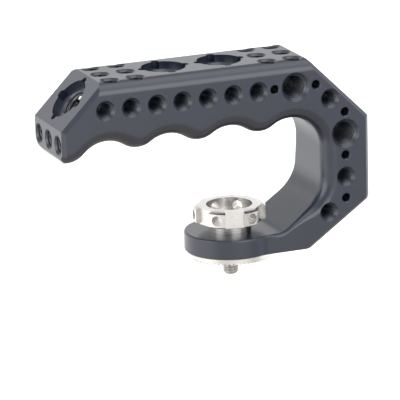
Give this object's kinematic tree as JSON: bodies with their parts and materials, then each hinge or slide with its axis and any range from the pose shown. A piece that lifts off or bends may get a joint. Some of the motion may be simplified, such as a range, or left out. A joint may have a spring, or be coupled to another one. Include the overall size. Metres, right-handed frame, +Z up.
{
  "type": "camera top handle",
  "caption": "C-shaped camera top handle with finger grooves and rows of threaded holes, on a round foot with a toothed rosette and a captive thumb screw.",
  "frame": {"origin": "on the thumb screw's axis, in the rosette ring's toothed plane", "axes": "+X from the nose towards the arm, +Y across the grip away from the side seen in the picture, +Z up"},
  "size_m": [0.1211, 0.0344, 0.0824],
  "materials": {
    "anodised_aluminium": "dark slate anodised, fine satin",
    "ring_steel": "machined, satin",
    "turned_steel": "turned, bright",
    "stud_steel": "plain",
    "fastener_steel": "plain"
  },
  "bodies": {
    "handle": {"handle_frame": "anodised_aluminium", "rosette_ring": "ring_steel", "rosette_screws": "fastener_steel"},
    "thumb_screw": {"thumbscrew_head": "turned_steel", "clamp_stud": "stud_steel", "clip_washer": "fastener_steel", "retaining_clip": "fastener_steel"}
  },
  "joints": [
    {"name": "screw_turn", "type": "hinge", "parent": "handle", "child": "thumb_screw", "pos_m": [0, 0, 0], "axis": [0, 0, 1], "continuous": true}
  ]
}
